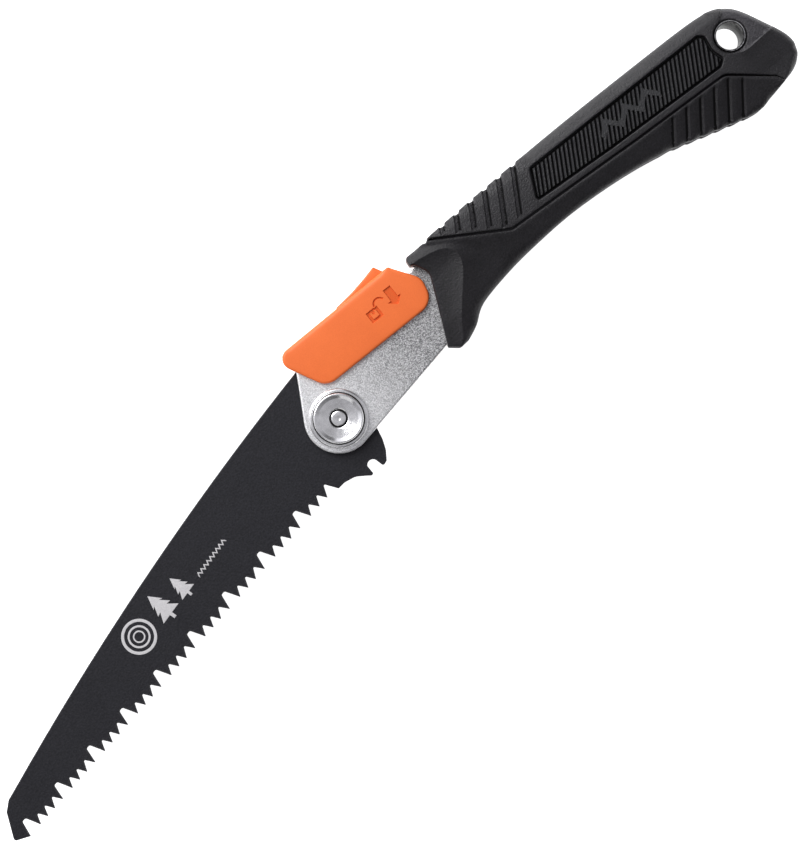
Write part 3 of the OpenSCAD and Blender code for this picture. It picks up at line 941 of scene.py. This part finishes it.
def padlock_icon():
    body = np.array([(34.2, 21.0), (39.7, 21.0), (39.7, 25.8), (34.2, 25.8)])
    island = np.array([(35.5, 22.1), (35.5, 24.8), (36.4, 24.8), (36.4, 23.6), (37.5, 23.6), (37.5, 24.8),
                       (38.4, 24.8), (38.4, 22.1)])
    outer = arc(SHACKLE_AT, 2.75, 180, 15, 14)
    inner = arc(SHACKLE_AT, 2.0, 15, 180, 12)
    return [body, island, np.vstack((outer, inner))[::-1]]


def arrow_icon():
    return [np.array([(47.0, 20.8), (50.3, 23.6), (48.8, 23.6), (48.8, 28.8), (45.3, 28.8), (45.3, 23.6),
                      (43.7, 23.6)])]


def cheek(xy):
    """The height of the lever's gently crowned cheek."""
    return CHEEK_OUT - CHEEK_CROWN * (xy[:, 1] - CHEEK_MIDDLE) ** 2


def make_lever():
    icons = padlock_icon() + arrow_icon()
    creases = []
    for loop in icons:
        dense = densify(loop, 0.7, closed=True)
        for side in (0, ICON_WALL, -ICON_WALL):
            creases.append(looped(dense + normals_of(dense) * side))

    def signed_cheek(xy):
        return cheek(xy) - ICON_DEPTH * engraving(xy, icons, ICON_WALL)

    lower = rounded([(-6.6, 34.2), (4.4, 12.7, 7), (58.4, 12.7, 7), (60.6, 23.3, 6), (52.6, 35.1, 1.2),
                     (40, 34.9)], closed=False)[1:-1]
    corner = fillet(np.array([26, 34.7]), np.array([-6.6, 34.2]), np.array([4.4, 12.7]), 4.5)
    upper = np.vstack((lower[-1:], [[40, 34.95], [26, 34.7]], corner))
    edge = Edge((np.vstack((lower, lower[-1:])), 1.0, 0.9, CHEEK_IN, 0),
                (upper, 1.9, 1.5, CHEEK_IN, 0),
                (joined(corner[-1:], lower), 1.0, 0.9, CHEEK_IN, 0))
    near = cushion([edge], signed_cheek, 1.4, CHEEK_IN, creases, steps=5)
    plain = flipped(cushion([edge], cheek, 2.5, CHEEK_IN, steps=5))
    bridge_outline = np.array([(-3.4, 31.2), (55.2, 31.2), (52.9, 34.9), (26, 34.7), (0.6, 34.3),
                               (-2.4, 33.3)])
    bridge_edge = plain_edge(bridge_outline, 0.01, 0.01, 0)
    bridge = mirrored(cushion([bridge_edge], flat_top(CHEEK_IN + 0.02), 5, steps=1))
    pad_outline = rounded([(26.0, 33.5, 0.3), (50.2, 33.5), (50.2, 34.9, 0.4), (48.2, 38.75, 0.5),
                           (42, 37.3, 20), (35, 36, 20), (26.6, 35.1, 0.5)])
    pad = mirrored(cushion([plain_edge(pad_outline, 0.7, 0.7, 0)], flat_top(4), 2.5, steps=4))
    lever = finished("lock_lever", [near, plain, bridge, pad], [M_LEVER, M_RECESS],
                     "lock_lever")
    # Slot 1 darkens the floors of the signs as painted shade
    paint(lever, 1, lambda spots, _: (spots[:, 2] > CHEEK_IN + 1)
          & (engraving(spots[:, :2], icons, ICON_WALL) > 0.3))


# ---------------------------------------------------------------- handle
BELLY = smooth([(60, -7.9), (66, -5.2), (74, 0), (90, 3.5), (106, 5.3), (126, 6.2), (150, 4.65),
                (170, 1.2), (190, -4.4), (206, -8.3), (214, -7.2), (222.1, -5.45)])
BACK = smooth([(214, 35.5), (198, 36.45), (142, 36.55), (102, 35.5), (74, 34.3)])
GROOVE_LINE = rounded([(71.3, 33.7), (100.8, 15.9, 3), (131.3, 14.4), (161.3, 12.8), (204.5, 11.3, 5),
                       (220.8, -1.9), (222.4, -5.3)], closed=False)
THICKNESS = smooth([(46, 9.6), (58, 10.3), (68, 11.0), (82, 11.2), (108, 10.6), (150, 11.8), (172, 11.95),
                    (190, 11.85), (215, 11.2), (240, 10.2)], 8)
STRIP_LEAN = 0.59
STRIPS = [(79.8, 3.0), (87.0, 6.6), (94.4, 9.6), (101.5, 12.9), (108.7, 16.4), (116.0, 16.9)]
STRIP_TOP = 34.5
STRIP_HALF = 1.4
STRIP_WALL = 0.35
STRIP_END = 0.5
STRIP_DEPTH = 0.9
BAND_FROM = 31.4
TUBE_AT = (215.8, 22.1)
GRIP_CROWN = 0.004
GRIP_MIDDLE = 23


def half_thickness(x):
    return np.minimum(np.interp(x, THICKNESS[:, 0], THICKNESS[:, 1]), HALF_T)


def ramp_strips(xy):
    """1 in the slanted strips of the thumb ramp, 0 between them; a strip's floor falls away to the butt."""
    x, down = xy[:, 0], STRIP_TOP - xy[:, 1]
    depth = np.zeros(len(xy))
    for top_x, length in STRIPS:
        across = x + STRIP_LEAN * down - top_x
        floor = 0.55 + 0.45 * np.clip((across + STRIP_HALF) / (2 * STRIP_HALF), 0, 1)
        strip = (1 - ease(np.abs(across), STRIP_HALF - STRIP_WALL, STRIP_HALF)) * floor
        depth = np.maximum(depth, strip * (1 - ease(down, length - STRIP_END, length)))
    return depth


def strip_creases():
    """Lines along the feet and the crests of the strips' walls."""
    lines = []
    for top_x, length in STRIPS:
        down = np.arange(-3, length + 0.01, 0.6)
        for across in (-STRIP_HALF, -STRIP_HALF + STRIP_WALL, STRIP_HALF - STRIP_WALL, STRIP_HALF):
            lines.append(pairs(top_x + across - STRIP_LEAN * down, STRIP_TOP - down))
        for end in (length - STRIP_END, length):
            over = np.linspace(-STRIP_HALF, STRIP_HALF, 7)
            lines.append(pairs(top_x + over - STRIP_LEAN * end, STRIP_TOP - end))
    return lines


def notched(line, depth):
    """The thumb side's edge, cut where the strips cross it."""
    dense = densify(line, 0.45)
    return dense - pairs(0, depth * ramp_strips(dense))


TAIL_FACET = np.array([(214.6, 28.2), (219.8, 32.6), (226, 42), (250, 42), (245, 15.6), (232.2, 14.4),
                       (219.0, 13.5), (216.2, 13.8), (213.5, 15.3), (211.0, 17.6), (209.6, 22.0),
                       (211.0, 26.5)])
TAIL_WALL = 0.4
TAIL_STEP = 0.45
CORNER_FALL = 2.1


def upper_top(xy):
    """The upper grip's face: a low crown, the band along the back, the thumb strips and the tail's facet."""
    x, y = xy[:, 0], xy[:, 1]
    z = half_thickness(x) - GRIP_CROWN * (np.maximum(y, 2) - GRIP_MIDDLE) ** 2
    band_slope = 0.13 + 0.09 * ease(x, 100, 190)
    z -= band_slope * np.maximum(0, y - BAND_FROM)
    z -= STRIP_DEPTH * ramp_strips(xy)
    facet_fall = 0.07 * np.maximum(0, 0.5 * (x - 212) + 0.86 * (y - 22))
    z -= (TAIL_STEP + facet_fall) * engraving(xy, [TAIL_FACET], TAIL_WALL)
    outside = np.where(inside(xy, TAIL_FACET), 0, distance_to(xy, looped(TAIL_FACET)))
    z -= CORNER_FALL * (1 - np.exp(-outside / 6)) * ease(x, 208, 220) * ease(y, 17, 14.5)
    butt_fall = 0.06 * np.maximum(0, x - 218)
    return z - butt_fall


BUTT = smooth([(222.9, -5.3), (227.4, -4.3), (231.2, -2.6), (234.2, 0.6), (235.6, 5.0), (234.9, 9.2),
               (232.3, 14.8), (229.6, 20.4), (227.0, 25.6), (224.4, 29.6), (221.4, 32.4), (218.0, 34.4),
               (214, 35.5)])
CROWN_FROM = 60
CROWN_END = (224, 13.2)


def over_core(xy):
    """The height of the core's face under the upper grip: lower beyond its crown."""
    line = CROWN_END[1] * (xy[:, 0] - CROWN_FROM) / (CROWN_END[0] - CROWN_FROM)
    return np.where((xy[:, 0] < CROWN_END[0]) & (xy[:, 1] > line), CORE_TOP, CORE_BELLY)


def core_folds():
    """The step in the core's face, as its upper and its lower line."""
    along = np.arange(180, CROWN_END[0], 1.0)
    rise = CROWN_END[1] / (CROWN_END[0] - CROWN_FROM)
    up = np.arange(CROWN_END[1], 34, 1.0)
    lines = []
    for shift in (0.05, -0.05):
        foot = pairs(along, rise * (along - CROWN_FROM) + shift)
        lines.append(np.vstack((foot, pairs(CROWN_END[0] - shift, up))))
    return lines


FINGER_FROM = 170.6
FINGER_PITCH = 7.0
FINGER_COUNT = 6
FINGER_LEAN = 0.70
FINGER_WALL = 1.1
FINGER_FLAT = 0.45
FINGER_DARK = 5.8
FINGER_DEPTH = 0.8
FINGER_EDGE = 0.4


def shingle_place(xy):
    """How far each point lies beyond the first slanted line of the finger grip."""
    return xy[:, 0] - FINGER_LEAN * xy[:, 1] - FINGER_FROM


def shingles(xy):
    """The finger grip: shallow steps, each rising at a slanted line and sinking again before the next."""
    step = shingle_place(xy) / FINGER_PITCH
    fall = shingle_place(xy) % FINGER_PITCH
    sinking = np.clip((fall / FINGER_PITCH - FINGER_FLAT) / (1 - FINGER_FLAT), 0, 1)
    depth = np.where(fall < FINGER_WALL, 1 - fall / FINGER_WALL, sinking)
    depth = np.where(step < 0, ease(step, -1, 0), depth)
    depth = np.where(step > FINGER_COUNT - 1 + FINGER_WALL / FINGER_PITCH, 0, depth)
    return depth * ease(distance_to(xy, GROOVE_LINE), 0.6, 2.4)


def shingle_creases():
    lines = []
    up = np.arange(-9, 13, 0.6)
    for k in range(FINGER_COUNT):
        for shift in (0.0, FINGER_WALL, FINGER_FLAT * FINGER_PITCH, FINGER_DARK):
            lines.append(pairs(FINGER_FROM + FINGER_PITCH * k + shift + FINGER_LEAN * up, up))
    return lines


HOOD_RIDGE = smooth([(54, -14), (58.0, -7.0), (63, 0.6), (70.0, 9.0), (75, 14.9), (77.6, 19.8), (77.0, 24.3),
                     (73.2, 27.4), (67.0, 29.0), (60, 29.9), (52, 30.6)])
HOOD_FACET = np.vstack(([[40, -14]], HOOD_RIDGE, [[40, 30.6]]))
HOOD_DISH = 1.3
GROOVE_LIP = 0.5
BELLY_SLOPE = 0.33
BELLY_EASE = 0.005
HOOD_LIP_FROM = 30.4
HOOD_LIP_SLOPE = 0.35


def lower_top(xy):
    """The lower grip's face, falling away from the groove, with the hood's facet and the finger steps."""
    x, y = xy[:, 0], xy[:, 1]
    to_ridge = distance_to(xy, HOOD_RIDGE)
    facet = inside(xy, HOOD_FACET)
    below = np.where(facet, 0, np.minimum(distance_to(xy, GROOVE_LINE), to_ridge))
    z = half_thickness(x) - GROOVE_LIP * ease(distance_to(xy, GROOVE_LINE), 1.5, 0)
    z -= BELLY_SLOPE * below - BELLY_EASE * below ** 2
    chin_fall = 0.03 * np.maximum(0, 16 - y) + 0.10 * np.maximum(0, 3 - y)
    z -= chin_fall * ease(x, 80, 50)
    z -= np.where(facet, HOOD_DISH * (1 - np.exp(-to_ridge / 4.5)), 0)
    hood_lip = np.maximum(0, y - HOOD_LIP_FROM) * (1 - ease(x, 66, 74))
    return z - HOOD_LIP_SLOPE * hood_lip - FINGER_DEPTH * shingles(xy)


GRIP_SPACING = 0.7
GRIP_GRID = 0.75
TUBE_GAP = 6.75


def make_upper_grip(side, far):
    groove = shifted(GROOVE_LINE, GROOVE / 2)
    back = notched(BACK, STRIP_DEPTH)
    edge = Edge((joined(groove[:-1], BUTT), 0.6, 0.7, CORE_TOP, 0),
                (BUTT, 3.3, 4.2, 0, GRIP_WALL),
                (joined(back, groove), 2.2, 2.8, 0, GRIP_WALL), spacing=GRIP_SPACING)
    panel = rounded(PANEL)[::-1]
    facet = densify(TAIL_FACET, 0.6, closed=True)
    crest = densify([(74, BAND_FROM), (215, BAND_FROM)], 0.8)
    creases = strip_creases() + [crest, facet, facet + normals_of(facet) * TAIL_WALL]
    edges = [edge, plain_edge(panel, 0.45, 0.5, CORE_TOP, spacing=GRIP_SPACING),
             circle_edge(TUBE_AT, TUBE_GAP, 0.7, 0.8, CORE_TOP, count=72)]
    grip = cushion(edges, upper_top, GRIP_GRID, over_core, creases, base_creases=core_folds())
    piece = finished(f"upper_grip_{side}", [grip], [M_UPPER, M_SHADED, M_LIT_FACET], far=far)
    # Slot 1 darkens the deepest part of the thumb strips as painted shade
    paint_outside(piece, 1, lambda xy: ramp_strips(xy) > 0.85)
    # Slot 2 paints the tail's facet brighter as painted light
    paint_outside(piece, 2, lambda xy: inside(xy, TAIL_FACET))


def make_lower_grip(side, far):
    groove = shifted(GROOVE_LINE, -GROOVE / 2)[::-1]
    chin = rounded([(62.8, 19.4), (51.8, -5, 0.8), (55.8, -8.3, 2.2), (60, -7.9)], closed=False)
    hood = rounded([(70.3, 32.9), (68.9, 33.5), (59.9, 33.3, 1.6), (59.8, 29.9, 0.5), (61.2, 29.0)],
                   closed=False)
    throat = smooth([(61.2, 29.0), (63.2, 25.5), (63.9, 22.5), (62.8, 19.4)])
    fingers = densify(BELLY, 0.5)
    fingers = fingers + pairs(0, FINGER_EDGE * shingles(fingers))
    edge = Edge((joined(fingers[:-1], groove), 4.2, 3.2, PLATE_IN, GRIP_WALL),
                (joined(groove, hood), 0.6, 0.7, CORE_BELLY, 0),
                (hood, 2.2, 2.4, 0, GRIP_WALL),
                (throat, 0.7, 0.8, PLATE_OUT, 0),
                (chin[:-1], 0.7, 0.8, PLATE_OUT, 0),
                (joined(chin[-1:], fingers), 3.0, 3.0, PLATE_IN, GRIP_WALL), spacing=GRIP_SPACING)
    creases = shingle_creases() + [densify(HOOD_RIDGE, 0.7)]
    grip = cushion([edge], lower_top, GRIP_GRID, CORE_BELLY, creases)
    piece = finished(f"lower_grip_{side}", [grip], [M_LOWER_SHADED, M_SHADED], far=far)
    # Slot 1 darkens the sinking band before each finger step as painted shade
    paint_outside(piece, 1, lambda xy: (shingle_place(xy) % FINGER_PITCH > FINGER_DARK)
                  & (shingles(xy) > 0.3))


PANEL = [(114.8, 18.2, 1.5), (151.3, 16.1), (205.4, 14.4, 1.5), (208.4, 16.6, 1.5), (206.9, 21.8),
         (207.8, 28.4, 1.5), (205.4, 30.3, 1.5), (121, 30.6, 1.5)]
RIB_PITCH = 2.0
RIB_LEAN = 0.577
RIB_CREST = 0.45
RIB_FOOT = 0.66
RIB_DEPTH = 1.15
RIB_BORDER = (0.95, 1.2)
RIB_NUMBERS = range(54, 107)
RIB_AXIS = 22
PANEL_GAP = 0.45
PANEL_SUNK = 0.55
BADGE_WALL = 0.2


def make_panel(side, far):
    loop = rounded(PANEL)
    edge = plain_edge(loop + normals_of(loop) * PANEL_GAP, 0.3, 0.3, CORE_TOP, spacing=GRIP_SPACING)
    badge = densify(zigzag(151, 180, 19.3, 9.67, 5.2, 3.4), 0.8, closed=True)

    def raised(xy):
        across = xy[:, 0] - RIB_LEAN * (xy[:, 1] - RIB_AXIS)
        phase = np.abs((across + RIB_PITCH / 2) % RIB_PITCH - RIB_PITCH / 2)
        rib = 1 - np.clip((phase - RIB_CREST) / (RIB_FOOT - RIB_CREST), 0, 1)
        to_rim = distance_to(xy, looped(loop))
        border = np.clip((to_rim - RIB_BORDER[0]) / (RIB_BORDER[1] - RIB_BORDER[0]), 0, 1)
        return np.maximum(rib * border, engraving(xy, [badge], BADGE_WALL))

    def panel_top(xy):
        return half_thickness(xy[:, 0]) - PANEL_SUNK - RIB_DEPTH * (1 - raised(xy))

    creases = [looped(badge), looped(badge + normals_of(badge) * BADGE_WALL)]
    for inset in RIB_BORDER:
        creases.append(looped(densify(loop + normals_of(loop) * inset, 0.6, closed=True)))
    up = np.arange(13, 32, 0.4)
    for k in RIB_NUMBERS:
        for offset in (-RIB_FOOT, -RIB_CREST, RIB_CREST, RIB_FOOT):
            creases.append(pairs(k * RIB_PITCH + offset + RIB_LEAN * (up - RIB_AXIS), up))
    plate = cushion([edge], panel_top, 9, CORE_TOP, creases, steps=3)
    piece = finished(f"ribbed_panel_{side}", [plate], [M_PANEL, M_SHADED], sharp=25, far=far)
    # Slot 1 darkens the gaps between the ribs as painted shade
    paint_outside(piece, 1, lambda xy: raised(xy) < 0.3)


TUBE_BORE = 5.45
TUBE_OUTSIDE = 6.2


def make_tube():
    wall = [(TUBE_BORE, 0), (TUBE_BORE, TUBE_HALF - 0.9), (5.55, TUBE_HALF - 0.35), (5.8, TUBE_HALF - 0.05),
            (6.1, TUBE_HALF), (TUBE_OUTSIDE, TUBE_HALF - 0.2), (TUBE_OUTSIDE, 0)]
    profile = wall + [(r, -z) for r, z in reversed(wall[1:-1])]
    finished("lanyard_tube", [lathe(profile, TUBE_AT)], [M_TUBE], sharp=40)


SPRING_TURNS = 5
SPRING_WIRE = 0.35


def make_spring():
    """The coil spring inside the lever."""
    low, high = ((Vector(corner) - PIVOT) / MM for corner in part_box("lever_spring"))
    middle = (low + high) / 2
    section = arc(((high.x - low.x) / 2 - SPRING_WIRE, 0), SPRING_WIRE, 0, 360, 10)[:-1]
    coil = Builder()
    rings = []
    for share in np.linspace(0, 1, 24 * SPRING_TURNS + 1):
        turn = 2 * math.pi * SPRING_TURNS * share
        rise = SPRING_WIRE + (high.y - low.y - 2 * SPRING_WIRE) * share
        xy = pairs(middle.x + section[:, 0] * math.cos(turn), low.y + rise + section[:, 1])
        rings.append(coil.add(xy, middle.z + section[:, 0] * math.sin(turn)))
    for ring, following in zip(rings, rings[1:]):
        coil.band(ring, following)
    coil.faces += [tuple(rings[0]), tuple(rings[-1])]
    piece = finished("lever_spring", [coil], [M_STEEL], sharp=60)
    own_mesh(piece)


def keep_inner_nodes():
    """Gives the CAD nodes that stay as they are their materials."""
    steel = ["spacer_bar", "spring_seat", "frame_rivets", "lever_pin", "lock_pawl", "pawl_pins",
             "handle_screws"]
    bronze = ["pivot_sleeve", "thrust_washer_near", "thrust_washer_far", "threaded_inserts"]
    for names, material in ((steel, M_STEEL), (bronze, M_BRONZE), (["core_near", "core_far"], M_CORE)):
        for name in names:
            mesh = frame["nodes"][name].data
            mesh.materials.clear()
            mesh.materials.append(material)


# ---------------------------------------------------------------- stage
CAMERA_LENS = 125
CAMERA_AT = (18.4, -18.0, 1180)
CAMERA_TURN = -38.5
FLOOR_HALF = 3.0
FLOOR_GLOW = 1.2
WORLD_STRENGTH = 1.2
# The studio's walls, by direction round the saw in turns (0 is -X, 0.25 is -Y, 0.5 is +X, 0.75 is +Y)
WALLS = [(0.00, 0.20), (0.07, 0.11), (0.20, 0.09), (0.30, 0.20), (0.40, 0.41), (0.49, 0.40), (0.55, 0.08),
         (0.615, 0.07), (0.64, 0.85), (0.80, 1.00), (0.91, 0.80), (0.96, 0.25)]
CEILING = 0.375
CEILING_FROM = 0.80
CEILING_FULL = 0.97
STUDIO_TINT = (0.97, 0.965, 1.03)
# Name, place from the pivot in metres, size in metres and power in watts
LIGHTS = [("key", (-0.15, 1.0, 0.9), 0.9, 16), ("fill", (-0.9, -0.5, 0.9), 0.7, 1.0)]


def make_camera():
    """Looks straight down on the saw, turned so that the handle rises to the right."""
    data = bpy.data.cameras.new("camera")
    data.lens = CAMERA_LENS
    data.sensor_width = 36
    camera = placed("camera", data)
    camera.location = PIVOT + Vector(CAMERA_AT) * MM
    camera.rotation_euler = (0, 0, math.radians(CAMERA_TURN))
    bpy.context.scene.camera = camera


def make_floor():
    """A pale table that glows a little, as a light table does."""
    mesh = bpy.data.meshes.new("floor")
    corners = [(-1, -1), (1, -1), (1, 1), (-1, 1)]
    mesh.from_pydata([(x * FLOOR_HALF, y * FLOOR_HALF, 0) for x, y in corners], [], [(0, 1, 2, 3)])
    s = Surface("floor_white", specular=0.1)
    pale = s.fade(s.noise(60, 3), grey(0.78), grey(0.82))
    s.rough(s.noise(30, 2), 0.6, 0.7)
    s.shade({"Base Color": pale, "Emission Color": pale, "Emission Strength": FLOOR_GLOW})
    mesh.materials.append(s.material)
    placed("floor", mesh)


def tinted(value):
    return tuple(value * tint for tint in STUDIO_TINT)


def make_world():
    """Soft walls, brighter on the thumb side, under an even ceiling."""
    world = bpy.data.worlds.new("studio")
    bpy.context.scene.world = world
    world.use_nodes = True
    tree = world.node_tree
    place = tree.nodes.new("ShaderNodeTexCoord").outputs["Generated"]
    x, y, z = add_node(tree, "ShaderNodeSeparateXYZ", {0: place}).outputs
    angle = calculated(tree, "ShaderNodeMath", "ARCTAN2", y, x)
    turn = calculated(tree, "ShaderNodeMath", "MULTIPLY_ADD", angle, 0.5 / math.pi, 0.5)
    walls = colour_ramp(tree, turn, [(position, tinted(value)) for position, value in WALLS])
    lift = tree.nodes.new("ShaderNodeMapRange")
    lift.interpolation_type = "SMOOTHSTEP"
    feed(tree, lift, {"Value": z, "From Min": CEILING_FROM, "From Max": CEILING_FULL})
    sky = mixed(tree, lift.outputs["Result"], walls, (*tinted(CEILING), 1))
    feed(tree, tree.nodes["Background"], {"Color": sky, "Strength": WORLD_STRENGTH})


def make_lights():
    for name, spot, size, power in LIGHTS:
        data = bpy.data.lights.new(name, "AREA")
        data.size = size
        data.energy = power
        light = placed(name, data)
        light.location = PIVOT + Vector(spot)
        light.rotation_euler = (PIVOT - light.location).to_track_quat("-Z", "Y").to_euler()


make_camera()
make_floor()
make_world()
make_lights()
make_blade()
make_mark()
make_nut()
make_bolt()
make_lever()
for side, far in (("near", False), ("far", True)):
    make_plate(side, far)
    make_cup(side, far)
    make_upper_grip(side, far)
    make_lower_grip(side, far)
    make_panel(side, far)
make_tube()
make_spring()
keep_inner_nodes()
bpy.context.scene.view_settings.view_transform = "Standard"
